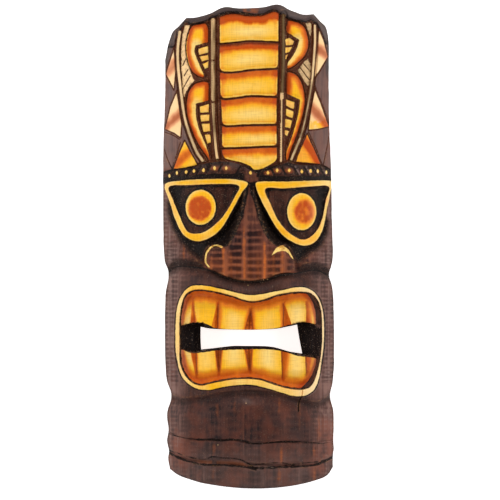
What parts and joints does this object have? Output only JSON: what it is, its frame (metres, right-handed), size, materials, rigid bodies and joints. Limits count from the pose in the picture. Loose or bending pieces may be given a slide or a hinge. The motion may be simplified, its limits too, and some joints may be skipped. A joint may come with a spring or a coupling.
{
  "type": "tiki mask",
  "caption": "Tall carved wooden tiki mask with a banded headdress, wide round-pupilled eyes, a broad nose and an open toothed mouth, hollow at the back.",
  "frame": {"origin": "middle of the mask's back plane, under the middle of its bounding box", "axes": "+X to the viewer's right, +Y towards the top of the head, +Z out of the face, back plane at z = 0"},
  "size_m": [0.1776, 0.5, 0.062],
  "materials": {
    "painted_carved_wood": "hand-carved light wood, stained dark brown, airbrushed yellow and orange, black-lined, satin varnish"
  },
  "bodies": {
    "root": {"tiki_mask": "painted_carved_wood"}
  },
  "joints": []
}
